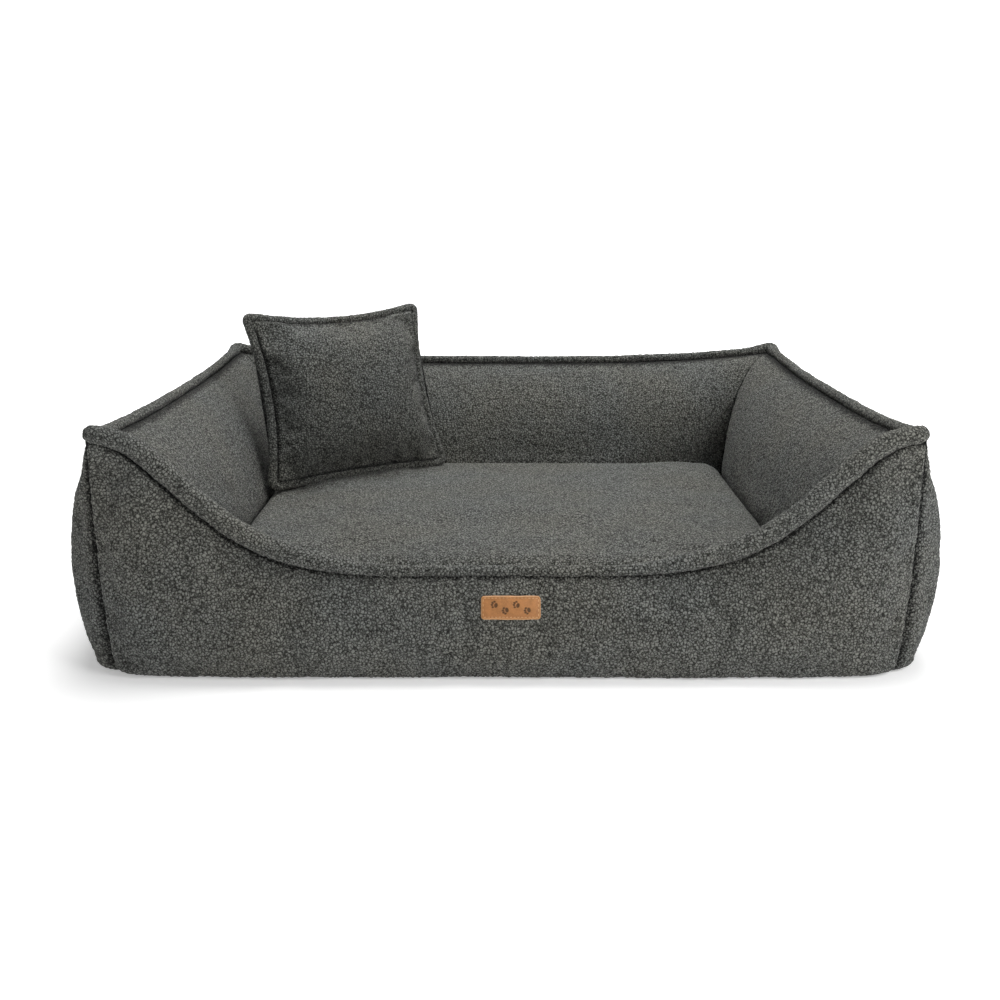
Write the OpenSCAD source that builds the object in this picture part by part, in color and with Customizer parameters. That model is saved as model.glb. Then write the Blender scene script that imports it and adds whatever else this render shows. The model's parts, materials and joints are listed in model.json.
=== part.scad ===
// Soft dog bed: four stuffed walls round a lift-out mattress, with a loose cushion in one corner.
// Millimetres, +Z up. The origin is at floor level in the middle of the bed, +X is to the right
// and the low front wall faces -Y.

/* [Walls] */
// Half the distance between the left and right corner tips
tip_x = 420; // [415:1:425]
// Half the distance between the front and back corner tips
tip_y = 323; // [320:1:328]
// Height of the top seam at the four corner tips
tip_z = 249; // [246:1:255]
// Height of the top seam at the middle of the left and right walls
side_mid_z = 234; // [230:1:240]
// Height of the top seam at the middle of the back wall
back_mid_z = 228; // [224:1:234]
// Height of the top seam in the dip of the front wall
front_mid_z = 102; // [100:1:108]
// Thickness of the lined boucle fabric
cloth = 3; // [2:0.5:3.5]
// Thickness of the foam boards that keep the walls upright
board = 20; // [16:1:22]
// Radius of the stuffed piping along the top edge
piping_r = 7; // [6:0.5:7.5]

/* [Mattress] */
// Gap between the mattress and the walls
mattress_gap = 1.5; // [1:0.5:4]
// Height of the mattress's top above the floor
mattress_z = 104; // [100:1:108]
// Corner radius of the mattress
mattress_r = 52; // [44:1:60]
// How far the lower half of the mattress is set in
mattress_inset = 8; // [7:0.5:10]

/* [Cushion] */
// Width of the cushion between its side seams
cushion_w = 246; // [238:1:252]
// Height of the cushion between its top and bottom seams
cushion_h = 215; // [208:1:224]
// Thickness of the cushion at its middle
cushion_t = 96; // [80:1:100]
// Radius of the cushion's piping
cushion_piping_r = 5; // [4:0.5:5.5]
// Turn of the cushion about the vertical
cushion_yaw = 34; // [32:1:36]
// How far the cushion leans back
cushion_lean = 18; // [16:1:20]

/* [Zips] */
// Length of the zip in the back wall
wall_zip = 560; // [480:10:600]
// Length of the zip in the mattress cover
mattress_zip = 420; // [360:10:440]

/* [Label] */
// Width of the leather label
label_w = 60; // [50:1:70]
// Height of the leather label
label_h = 27; // [20:1:30]

/* [Hidden] */
$fn = 24;

// The four walls, as indices into the tables below
FRONT = 0;
BACK = 1;
LEFT = 2;
RIGHT = 3;

boucle = [0.30, 0.31, 0.30];
lining = [0.16, 0.16, 0.17];
foam = [0.86, 0.82, 0.70];
fibre = [0.93, 0.93, 0.92];
leather = [0.72, 0.40, 0.20];
thread = [0.80, 0.62, 0.42];
nickel = [0.62, 0.62, 0.64];

base_t = 2;                       // base fabric
floor_t = 2;                      // floor fabric inside the walls
air = 0.4;                        // gap between neighbouring pieces
slack = 5;                        // gap between a filling and the fabric round it
seam_top = 7;                     // depth of the inner panel's top edge behind the tips
foot_reach = [24, 24, 26, 26];    // how far each wall's foot stands out past the corner seams
belly_reach = [15, 15, 30, 30];   // how far each wall's belly stands out past that
inner_reach = [62, 119, 104, 104]; // depth of each wall's inner bulge behind the tips
crease_reach = 85;                // depth of the inner corner creases behind the tips
corner_in = 8;                    // how far the corner seam's foot lies inside the tip in X
corner_out = 8;                   // how far it lies outside the tip in Y
undercut = 0.74;                  // share of the inner bulge that is left at the floor
board_face = 2;                   // depth of the boards' outer faces behind the tips
board_below = 40;                 // how far the boards and fillings stop below the top seam
board_end = 34;                   // gap from a board's end to the corner tip
strip_z = 26;                     // top of the strip below the wall zip
strip_gap = 12;                   // opening that the wall zip closes

function smooth(t) = t <= 0 ? 0 : t >= 1 ? 1 : t * t * (3 - 2 * t);
function half_length(w) = w <= BACK ? tip_x : tip_y;
function spaced(n) = [for (i = [0 : n]) let (t = 2 * i / n - 1) 0.35 * t + 0.65 * sin(90 * t)];
function rise(z0, z1, n) = [for (j = [0 : n]) z0 + (z1 - z0) * j / n];

// Height of a wall's top seam, where u runs from -1 to 1 between the wall's two corner tips
function seam_z(w, u) =
    w == FRONT ? front_mid_z + (tip_z - front_mid_z) * (1 - pow(1 - pow(abs(u), 4.1), 2.15)) :
    w == BACK ? back_mid_z + (tip_z - back_mid_z) * pow(abs(u), 3.2) :
    side_mid_z + (tip_z - side_mid_z) * pow(abs(u), 2.6);

// A point given along wall w, outwards from the line between its tips, and up
function place(w, along, out, z) =
    w == FRONT ? [along, -(tip_y + out), z] :
    w == BACK ? [-along, tip_y + out, z] :
    w == LEFT ? [-(tip_x + out), -along, z] :
    [tip_x + out, along, z];

// The outside of a wall, inset by a thickness
function corner_x(v) = -corner_in * (1 - v);
function corner_y(v) = corner_out * (1 - v);
function bulge(w, v) = foot_reach[w] * (1 - v) + belly_reach[w] * pow(sin(180 * min(v, 1)), 0.8);
function outer(w, u, z, inset = 0) =
    let (v = z / seam_z(w, u),
        end = w <= BACK ? corner_x(v) : corner_y(v),
        out = w <= BACK ? corner_y(v) : corner_x(v),
        ends = pow(1 - pow(abs(u), 8), 1 / 3))
    place(w, u * (half_length(w) + end - inset), out + (bulge(w, v) - out) * ends - inset, z);

// The inside of a wall, whose bulge narrows to a crease at each corner
function profile(v, power) =
    pow(1 - pow(min(v, 1), 3), power) * (undercut + (1 - undercut) * smooth(v / 0.4));
function depth(w, u, v) =
    let (middle = seam_top + (inner_reach[w] - seam_top) * profile(v, 0.7),
        crease = seam_top + (crease_reach - seam_top) * profile(v, 0.5))
    crease + (middle - crease) * sqrt(1 - pow(abs(u), w == FRONT ? 5 : 8));
function inner(w, u, z, back = 0) =
    let (d = depth(w, u, z / seam_z(w, u)) - back)
    place(w, u * (half_length(w) - d), -d, z);

// A closed solid between two grids of points, the first on the side that faces outwards
module slab(near, far) {
    nu = len(near) - 1;
    nv = len(near[0]) - 1;
    function at(layer, i, j) = (layer * (nu + 1) + i) * (nv + 1) + j;
    quads = [
        for (i = [0 : nu - 1], j = [0 : nv - 1])
            [at(0, i, j), at(0, i, j + 1), at(0, i + 1, j + 1), at(0, i + 1, j)],
        for (i = [0 : nu - 1], j = [0 : nv - 1])
            [at(1, i, j), at(1, i + 1, j), at(1, i + 1, j + 1), at(1, i, j + 1)],
        for (i = [0 : nu - 1]) [at(0, i, 0), at(0, i + 1, 0), at(1, i + 1, 0), at(1, i, 0)],
        for (i = [0 : nu - 1]) [at(0, i, nv), at(1, i, nv), at(1, i + 1, nv), at(0, i + 1, nv)],
        for (j = [0 : nv - 1]) [at(0, 0, j), at(1, 0, j), at(1, 0, j + 1), at(0, 0, j + 1)],
        for (j = [0 : nv - 1]) [at(0, nu, j), at(0, nu, j + 1), at(1, nu, j + 1), at(1, nu, j)]];
    polyhedron([for (grid = [near, far], row = grid, p = row) p],
        [for (q = quads, t = [[0, 1, 2], [0, 2, 3]]) [q[t[0]], q[t[1]], q[t[2]]]]);
}

// A tube through rings of points, open-ended and capped, or joined into a loop
module tube(rings, loop = false) {
    n = len(rings);
    m = len(rings[0]);
    walls = [for (i = [0 : n - (loop ? 1 : 2)], k = [0 : m - 1], t = [0, 1])
        let (a = i * m + k, b = i * m + (k + 1) % m, c = (i + 1) % n * m + k,
            d = (i + 1) % n * m + (k + 1) % m)
        t == 0 ? [a, c, b] : [b, c, d]];
    ends = loop ? [] : [for (k = [1 : m - 2], e = [0, 1])
        let (o = (n - 1) * m) e == 0 ? [0, k, k + 1] : [o, o + k + 1, o + k]];
    polyhedron([for (r = rings, p = r) p], concat(walls, ends));
}

// --- The walls' fabric ---

function steps(w) = w == FRONT ? 22 : 14;

module outer_panel(w, bottom = base_t) {
    us = spaced(steps(w));
    color(boucle) slab(
        [for (u = us) [for (z = rise(bottom, seam_z(w, u), 5)) outer(w, u, z)]],
        [for (u = us) [for (z = rise(bottom, seam_z(w, u), 5)) outer(w, u, z, cloth)]]);
}

// The back panel stops at the strip below it, and the zip's opening is cut into its lower edge
module back_outer_panel() {
    difference() {
        outer_panel(BACK, strip_z + 0.01);
        translate([2 - wall_zip / 2, tip_y, strip_z - 1])
            cube([wall_zip - 4, foot_reach[BACK] + belly_reach[BACK] + 10, strip_gap + 1]);
    }
}

// Fabric below the zip in the back wall, with its ends mitred like the panel above
module back_lower_strip() {
    us = spaced(steps(BACK));
    color(boucle) slab(
        [for (u = us) [for (z = rise(base_t, strip_z, 2)) outer(BACK, u, z)]],
        [for (u = us) [for (z = rise(base_t, strip_z, 2)) outer(BACK, u, z, cloth)]]);
}

module inner_panel(w) {
    us = spaced(steps(w));
    bottom = base_t + floor_t;
    color(boucle) slab(
        [for (u = us) [for (z = rise(bottom, seam_z(w, u), 6)) inner(w, u, z, cloth)]],
        [for (u = us) [for (z = rise(bottom, seam_z(w, u), 6)) inner(w, u, z)]]);
}

// Stuffed piping along a wall's top seam, mitred at the corner tips
module wall_piping(w) {
    us = spaced(steps(w));
    sides = 8;
    over = -seam_top / 2;
    function top(u) = [u * (half_length(w) + over), seam_z(w, u)];
    rings = [for (u = us)
        let (d = top(min(u + 0.01, 1)) - top(max(u - 0.01, -1)), end = abs(u) == 1,
            t = end ? [1, 0] : d / norm(d),
            c = top(u) + (piping_r + 2 * air) * [-t[1], t[0]])
        [for (k = [0 : sides - 1])
            let (n = over + piping_r * cos(360 * k / sides), r = piping_r * sin(360 * k / sides))
            end ? place(w, sign(u) * (half_length(w) + n), n, c[1] + r) :
            place(w, c[0] - t[1] * r, n, c[1] + t[0] * r)]];
    color(boucle) tube(rings);
}

// --- The walls' filling ---

// Foam board, cut to the line of the wall's top edge
module wall_board(w) {
    reach = half_length(w) - board_end;
    outline = concat([[-reach, base_t + air], [reach, base_t + air]],
        [for (i = [8 : -1 : -8]) let (s = reach * i / 8)
            [s, seam_z(w, s / half_length(w)) - board_below]]);
    turn = [0, 180, -90, 90];
    color(foam) translate(place(w, 0, -board_face, 0)) rotate([90, 0, turn[w]])
        translate([0, 0, -board]) linear_extrude(board) polygon(outline);
}

// Polyester fibre between a wall's board and its inner panel
module wall_fill(w) {
    us = [for (u = spaced(steps(w))) u * 0.96];
    bottom = base_t + floor_t + air;
    flat = board_face + board + air;
    color(fibre) slab(
        [for (u = us) [for (z = rise(bottom, seam_z(w, u) - board_below, 4))
            place(w, inner_along(w, u, z), -flat, z)]],
        [for (u = us) [for (z = rise(bottom, seam_z(w, u) - board_below, 4))
            inner(w, u, z, cloth + slack)]]);
}
function inner_along(w, u, z) =
    u * (half_length(w) - depth(w, u, z / seam_z(w, u)) + cloth + slack);

// Thin wadding between a wall's board and its outer panel
module wall_wadding(w) {
    us = [for (u = spaced(8)) u * 0.9];
    bottom = w == BACK ? strip_z + strip_gap + tape_w : base_t + air;
    inset = 6;
    color(fibre) slab(
        [for (u = us) [for (z = rise(bottom, seam_z(w, u) - board_below, 3)) outer(w, u, z, inset)]],
        [for (u = us) [for (z = rise(bottom, seam_z(w, u) - board_below, 3))
            place(w, u * (half_length(w) - inset), air - board_face, z)]]);
}

// --- Base and floor ---

module footprint(z, inside = false) {
    polygon([for (w = [FRONT, RIGHT, BACK, LEFT], i = [0 : 23])
        let (u = i / 12 - 1, p = inside ? inner(w, u, z, cloth) : outer(w, u, z))
        [p[0], p[1]]]);
}

module base_panel() {
    color(lining) linear_extrude(base_t) footprint(0);
}

module floor_panel() {
    color(lining) translate([0, 0, base_t]) linear_extrude(floor_t)
        footprint(base_t + floor_t, true);
}

// --- Label ---

label_t = 1.4;
label_x = 5;     // the label's middle, right of the bed's middle
label_z = 80;    // its height

module on_label() {
    face = outer(FRONT, label_x / tip_x, label_z);
    low = outer(FRONT, label_x / tip_x, label_z - label_h / 2);
    high = outer(FRONT, label_x / tip_x, label_z + label_h / 2);
    lean = atan2(high[1] - low[1], label_h);
    translate([label_x, face[1], label_z]) rotate([90 - lean, 0, 0]) translate([0, 0, air])
        children();
}

module rounded(w, h, r) {
    square([w - 2 * r, h], center = true);
    square([w, h - 2 * r], center = true);
    for (x = [-1, 1], y = [-1, 1]) translate([x * (w / 2 - r), y * (h / 2 - r)]) circle(r);
}

module label_patch() {
    color(leather) on_label() linear_extrude(label_t) rounded(label_w, label_h, 2);
}

module label_stitches() {
    stitch = 2.4;
    edge = 2.2;
    tall = 0.4;
    color(thread) on_label() translate([0, 0, label_t]) {
        for (i = [-7 : 7], y = [-1, 1])
            translate([i * (label_w - 2 * edge) / 15, y * (label_h / 2 - edge), tall / 2])
                cube([stitch, 0.6, tall], center = true);
        for (i = [-2.5 : 2.5], x = [-1, 1])
            translate([x * (label_w / 2 - edge), i * (label_h - 2 * edge) / 6.2, tall / 2])
                cube([0.6, stitch, tall], center = true);
    }
}

// --- Zips: drawn along X with the outside towards +Z and the upper tape towards +Y ---

tape_w = 12;       // one tape's width
tape_t = 1;
slot = 1.2;        // slot between the two rows of coil
coil_w = 2.2;      // one row's width
coil_t = 2;
plate = [9, 8, 1.2]; // the slider's plates
web_t = 0.6;       // the slider's web, which runs in the slot
run = 0.4;         // running gap round the slider
bar_r = 0.6;       // the pull's bar under the bridge
bar_z = coil_t + run + plate[2] + 0.5 + bar_r;
arch = 1.2;        // thickness of the bridge
post_x = 2.4;      // half the distance between the bridge's two posts
sunk = 0.5;        // how far joined solids run into each other

module zip_tapes(length) {
    color(lining) for (side = [-1, 1])
        translate([-length / 2, side > 0 ? slot / 2 : -slot / 2 - tape_w, -tape_t])
            cube([length, tape_w, tape_t]);
}

module zip_coils(length) {
    color(lining) for (side = [-1, 1])
        translate([-length / 2 + 2, side > 0 ? slot / 2 : -slot / 2 - coil_w, 0])
            cube([length - 4, coil_w, coil_t]);
}

module zip_slider() {
    color(nickel) {
        top = coil_t + run;
        translate([-plate[0] / 2, -plate[1] / 2, top]) cube(plate);
        translate([-plate[0] / 2, -plate[1] / 2, -tape_t - run - plate[2]]) cube(plate);
        translate([-plate[0] / 2, -web_t / 2, -tape_t - run - sunk])
            cube([plate[0], web_t, tape_t + run + top + 2 * sunk]);
        over = bar_z + bar_r + run;
        for (x = [-1, 1]) translate([x * post_x - arch / 2, -1, top + sunk])
            cube([arch, 2, over - top - sunk + arch]);
        translate([-post_x, -1, over]) cube([2 * post_x, 2, arch]);
    }
}

// The pull hangs on its bar, and its plate lies flat along the zip
module zip_pull() {
    arm = [6, 1.2, 2 * bar_r];
    arm_y = 2.4;
    tab = [20, 6, 2 * bar_r];
    hole_r = 1.5;
    color(nickel) {
        rotate([90, 0, 0]) cylinder(r = bar_r, h = 2 * arm_y, center = true);
        for (y = [-1, 1]) translate([-bar_r, y * arm_y - arm[1] / 2, -bar_r]) cube(arm);
        difference() {
            translate([arm[0] - 2 * bar_r, -tab[1] / 2, -bar_r]) cube(tab);
            translate([tab[0] + 1, 0, -2]) cylinder(r = hole_r, h = 4);
        }
    }
}

module at_wall_zip() {
    face = outer(BACK, wall_zip / 2 / tip_x, strip_z + strip_gap / 2 - tape_w, cloth);
    translate([0, face[1] - air, strip_z + strip_gap / 2]) rotate([90, 0, 180]) children();
}

module wall_zip_tape() {
    at_wall_zip() zip_tapes(wall_zip);
}

module wall_zip_coil() {
    at_wall_zip() zip_coils(wall_zip);
}

module wall_zip_slider() {
    at_wall_zip() translate([-wall_zip / 2 + 10, 0, 0]) zip_slider();
}

module wall_zip_pull() {
    at_wall_zip() translate([-wall_zip / 2 + 10, 0, bar_z]) zip_pull();
}

// --- Mattress ---

mattress_x = tip_x - inner_reach[LEFT] - mattress_gap;
mattress_back = tip_y - inner_reach[BACK] - mattress_gap;
mattress_front = tip_y - inner_reach[FRONT] - mattress_gap;
mattress_foot = base_t + floor_t + air;
mattress_seam = 62;     // height of the seam between the two covers
mattress_lip = 40;      // height of the zip

module mattress_outline(inset) {
    translate([0, (mattress_back - mattress_front) / 2])
        rounded(2 * (mattress_x - inset), mattress_back + mattress_front - 2 * inset,
            mattress_r - inset);
}

module mattress_block(inset, z0, z1) {
    translate([0, 0, z0]) linear_extrude(z1 - z0) mattress_outline(inset);
}

module mattress_top_cover() {
    color(boucle) difference() {
        mattress_block(0, mattress_seam, mattress_z);
        mattress_block(cloth, mattress_seam + cloth, mattress_z - cloth);
        mattress_block(mattress_inset + cloth, mattress_seam - 1, mattress_seam + 2 * cloth);
    }
}

module mattress_base_cover() {
    opening = [mattress_zip - 4, 2 * cloth + 2, strip_gap];
    color(lining) difference() {
        mattress_block(mattress_inset, mattress_foot, mattress_seam);
        mattress_block(mattress_inset + cloth, mattress_foot + cloth, mattress_seam + 1);
        translate([-opening[0] / 2, mattress_back - mattress_inset - cloth - 1,
            mattress_lip - strip_gap / 2]) cube(opening);
    }
}

module mattress_foam() {
    clear = mattress_inset + cloth + 4;
    color(foam) {
        mattress_block(clear, mattress_foot + cloth + air, mattress_seam + cloth + 1);
        mattress_block(cloth + air, mattress_seam + cloth + air, mattress_z - cloth - air);
    }
}

module at_mattress_zip() {
    translate([0, mattress_back - mattress_inset - cloth - air, mattress_lip])
        rotate([90, 0, 180]) children();
}

module mattress_zip_tape() {
    at_mattress_zip() zip_tapes(mattress_zip);
}

module mattress_zip_coil() {
    at_mattress_zip() zip_coils(mattress_zip);
}

module mattress_zip_slider() {
    at_mattress_zip() translate([-mattress_zip / 2 + 10, 0, 0]) zip_slider();
}

// --- Cushion: drawn with its back towards +Y and its bottom seam along X ---

pinch = 12;             // how far the sides are drawn in between the corners
pinch_bottom = 4;       // the same along the bottom, which rests on the mattress
cushion_at = [-200, 99, mattress_z + 2 * (cushion_piping_r + pinch_bottom) - 2];
cushion_rows = 8;

module at_cushion() {
    translate(cushion_at) rotate([0, 0, cushion_yaw]) rotate([-cushion_lean, 0, 0]) children();
}

// A point of the cushion, where a and b run from -1 to 1 across and up
function drawn_in(a, b) = [
    a * (cushion_w / 2 - pinch * (1 - b * b)),
    b * (cushion_h / 2 - (b < 0 ? pinch_bottom : pinch) * (1 - a * a))
        + cushion_h / 2 - pinch_bottom];
function lens(a, b) = (cushion_t / 2 - cloth - air) * pow((1 - a * a) * (1 - b * b), 0.45);
function cushion_grid(y, margin = 1, full = 1) = [for (a = rise(-1, 1, cushion_rows))
    [for (b = rise(-1, 1, cushion_rows))
        let (p = drawn_in(a * margin, b * margin), n = full * lens(a * margin, b * margin))
        [p[0], y > 0 ? n + y : -n + y, p[1]]]];

module cushion_front_cover() {
    color(boucle) at_cushion() slab(cushion_grid(-cloth - air), cushion_grid(-air));
}

module cushion_back_cover() {
    color(boucle) at_cushion() slab(cushion_grid(air), cushion_grid(cloth + air));
}

module cushion_fill() {
    color(fibre) at_cushion() slab(cushion_grid(-air, 0.72, 0.84), cushion_grid(air, 0.72, 0.84));
}

// Piping round the seam, just outside the covers' edges
module cushion_piping() {
    sides = 8;
    r = cushion_piping_r;
    edge = [for (side = [0 : 3], t = [0 : 8])
        let (s = t / 4.5 - 1)
        side == 0 ? [s, -1] : side == 1 ? [1, s] : side == 2 ? [-s, 1] : [-1, -s]];
    path = [for (e = edge) let (p = drawn_in(e[0], e[1]), d = p - drawn_in(0, 0))
        p + d / norm(d) * (r + 7 * air)];
    n = len(path);
    rings = [for (i = [0 : n - 1])
        let (d = path[(i + 1) % n] - path[(i + n - 1) % n], t = d / norm(d))
        [for (k = [0 : sides - 1])
            let (y = r * cos(360 * k / sides), o = r * sin(360 * k / sides))
            [path[i][0] + t[1] * o, y, path[i][1] - t[0] * o]]];
    color(boucle) at_cushion() tube(rings, loop = true);
}

base_panel();
floor_panel();
outer_panel(FRONT);  // front_outer_panel
back_outer_panel();
outer_panel(LEFT);  // left_outer_panel
outer_panel(RIGHT);  // right_outer_panel
back_lower_strip();
inner_panel(FRONT);  // front_inner_panel
inner_panel(BACK);  // back_inner_panel
inner_panel(LEFT);  // left_inner_panel
inner_panel(RIGHT);  // right_inner_panel
wall_board(FRONT);  // front_board
wall_board(BACK);  // back_board
wall_board(LEFT);  // left_board
wall_board(RIGHT);  // right_board
wall_fill(FRONT);  // front_fill
wall_fill(BACK);  // back_fill
wall_fill(LEFT);  // left_fill
wall_fill(RIGHT);  // right_fill
wall_wadding(FRONT);  // front_wadding
wall_wadding(BACK);  // back_wadding
wall_wadding(LEFT);  // left_wadding
wall_wadding(RIGHT);  // right_wadding
wall_piping(FRONT);  // front_piping
wall_piping(BACK);  // back_piping
wall_piping(LEFT);  // left_piping
wall_piping(RIGHT);  // right_piping
wall_zip_tape();
wall_zip_coil();
wall_zip_slider();
wall_zip_pull();
label_patch();
label_stitches();
mattress_top_cover();
mattress_base_cover();
mattress_foam();
mattress_zip_tape();
mattress_zip_coil();
mattress_zip_slider();
cushion_front_cover();
cushion_back_cover();
cushion_fill();
cushion_piping();
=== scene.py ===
import itertools
import json
import math

import bmesh
import bpy
import numpy as np
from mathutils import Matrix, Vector


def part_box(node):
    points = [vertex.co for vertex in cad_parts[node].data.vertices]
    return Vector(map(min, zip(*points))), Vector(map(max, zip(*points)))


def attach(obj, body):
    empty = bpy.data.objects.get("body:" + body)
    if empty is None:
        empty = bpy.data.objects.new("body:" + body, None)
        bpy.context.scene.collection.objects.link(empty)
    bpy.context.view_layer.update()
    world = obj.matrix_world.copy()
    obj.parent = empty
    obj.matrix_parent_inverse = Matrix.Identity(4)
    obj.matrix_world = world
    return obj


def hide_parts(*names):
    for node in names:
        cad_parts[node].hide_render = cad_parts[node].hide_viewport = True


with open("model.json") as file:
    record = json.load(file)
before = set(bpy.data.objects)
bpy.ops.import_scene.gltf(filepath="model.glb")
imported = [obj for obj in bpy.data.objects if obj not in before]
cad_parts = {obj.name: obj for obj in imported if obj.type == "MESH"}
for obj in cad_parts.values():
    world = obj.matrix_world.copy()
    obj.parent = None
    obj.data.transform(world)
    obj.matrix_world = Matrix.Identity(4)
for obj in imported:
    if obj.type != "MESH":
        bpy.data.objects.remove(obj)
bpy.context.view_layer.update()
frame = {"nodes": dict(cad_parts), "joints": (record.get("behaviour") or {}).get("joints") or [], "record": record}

MM = 0.001
CELL = 1.7 * MM  # size of a fabric mesh's quads
SCENE = bpy.context.scene

FRONT, BACK, LEFT, RIGHT = range(4)
WALLS = ("front", "back", "left", "right")


# --- Driving sizes, read from the frame ---

def size(name):
    low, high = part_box(name)
    return np.array(high) - np.array(low)


def middle(name):
    low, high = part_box(name)
    return (np.array(high) + np.array(low)) / 2


PIPING_GAP = 0.8 * MM  # between the frame's seams and its piping
SEAM_TOP = 7 * MM  # thickness of a wall at its top seam
TIP_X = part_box("front_outer_panel")[1].x
TIP_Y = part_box("left_piping")[1].y - size("left_piping")[0] / 2 + SEAM_TOP / 2
TIP_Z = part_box("front_outer_panel")[1].z
SEAM_RISE = (7.0 * MM, 4.4 * MM, 4.4 * MM, 4.4 * MM)  # from the frame's seams up to the drawn ones
MIDDLE_Z = [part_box(wall + "_piping")[0].z - PIPING_GAP + rise
            for wall, rise in zip(WALLS, SEAM_RISE)]
FLOOR_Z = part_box("floor_panel")[1].z
STRIP_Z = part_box("back_lower_strip")[1].z
HALF = (TIP_X, TIP_X, TIP_Y, TIP_Y)  # half of each wall's length


# --- Noise ---

SEED_APART = 17.3  # how far apart the seeds lie in the noise, in cells
rng = np.random.default_rng(11)
SHUFFLE = np.tile(rng.permutation(256), 2)
SLOPES = rng.normal(size=(256, 3))
SLOPES /= np.linalg.norm(SLOPES, axis=1)[:, None]


def noise(points, cell, seed=0):
    """Smooth gradient noise from about -0.7 to 0.7, with features the size of a cell."""
    p = points.reshape(-1, 3) / cell + SEED_APART * seed
    whole = np.floor(p).astype(int)
    f = p - whole
    fade = f * f * f * (f * (f * 6 - 15) + 10)
    total = np.zeros(len(p))
    for corner in itertools.product((0, 1), repeat=3):
        c = (whole + corner) & 255
        slope = SLOPES[SHUFFLE[SHUFFLE[SHUFFLE[c[:, 0]] + c[:, 1]] + c[:, 2]]]
        weight = np.where(corner, fade, 1 - fade).prod(axis=1)
        total += weight * ((f - corner) * slope).sum(axis=1)
    return total.reshape(points.shape[:-1])


def smooth(t):
    """An even step from 0 to 1."""
    t = np.clip(t, 0, 1)
    return t * t * (3 - 2 * t)


def unit(vectors):
    return vectors / np.maximum(np.linalg.norm(vectors, axis=-1, keepdims=True), 1e-12)


def circle(count):
    """The angles of so many points round a circle."""
    return np.linspace(0, 2 * np.pi, count, endpoint=False)


def rounded_off(distance, radius):
    """How far a face falls away towards a rounded edge at the given distance."""
    t = np.clip(1 - distance / radius, 0, 1)
    return radius * (1 - np.sqrt(1 - t ** 2))


def to_border(a, b, half):
    """Distance from a rectangle's border, for a and b from -1 to 1 across it."""
    return np.minimum((1 - np.abs(a)) * half[0], (1 - np.abs(b)) * half[1])


CURL = 4.6 * MM  # width of a curl
CLUMP = 8 * MM  # width of a clump of curls
CURL_SHARE = 0.75  # of the pile's height; the clumps make up the rest


def curls(points):
    """Height of the boucle's curls: 0 in the cracks between them and about 1 on their backs."""
    bent = points + 1.3 * MM * noise(points, 4.5 * MM, 5)[..., None]
    curl = np.minimum(np.abs(noise(bent, CURL, 1)) * 3.4, 1)
    clump = np.minimum(np.abs(noise(points, CLUMP, 2)) * 3.0, 1)
    return CURL_SHARE * curl ** 0.7 + (1 - CURL_SHARE) * clump ** 0.7


# --- Meshes ---

PILE = 1.5 * MM  # height of the boucle's curls
SEAM_PRESS = 5 * MM  # reach of a seam's pull on the curls beside it, and of the shade painted along it
SEAM_CURL = 0.25  # share of the curls' height that is left at a seam
FACE_LEVEL = 0.45  # share of their height that lies below the smooth face
UV_ALL = (0, 0, 0.99, 0.99)  # parts of the UV square that a skin is laid on
UV_TOP = (0, 0, 0.99, 0.78)
UV_SIDE = (0, 0.80, 0.99, 0.99)
UV_HIDDEN = 0.995  # where every closing face lies


def store(mesh, title, values):
    """Keeps a value at each point of a mesh, for its material to read."""
    attribute = mesh.attributes.new(title, "FLOAT", "POINT")
    attribute.data.foreach_set("value", values.astype(np.float32))


def looped(numbers):
    """A grid of point numbers whose last column joins the first."""
    return np.concatenate([numbers, numbers[:, :1]], axis=1)


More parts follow.
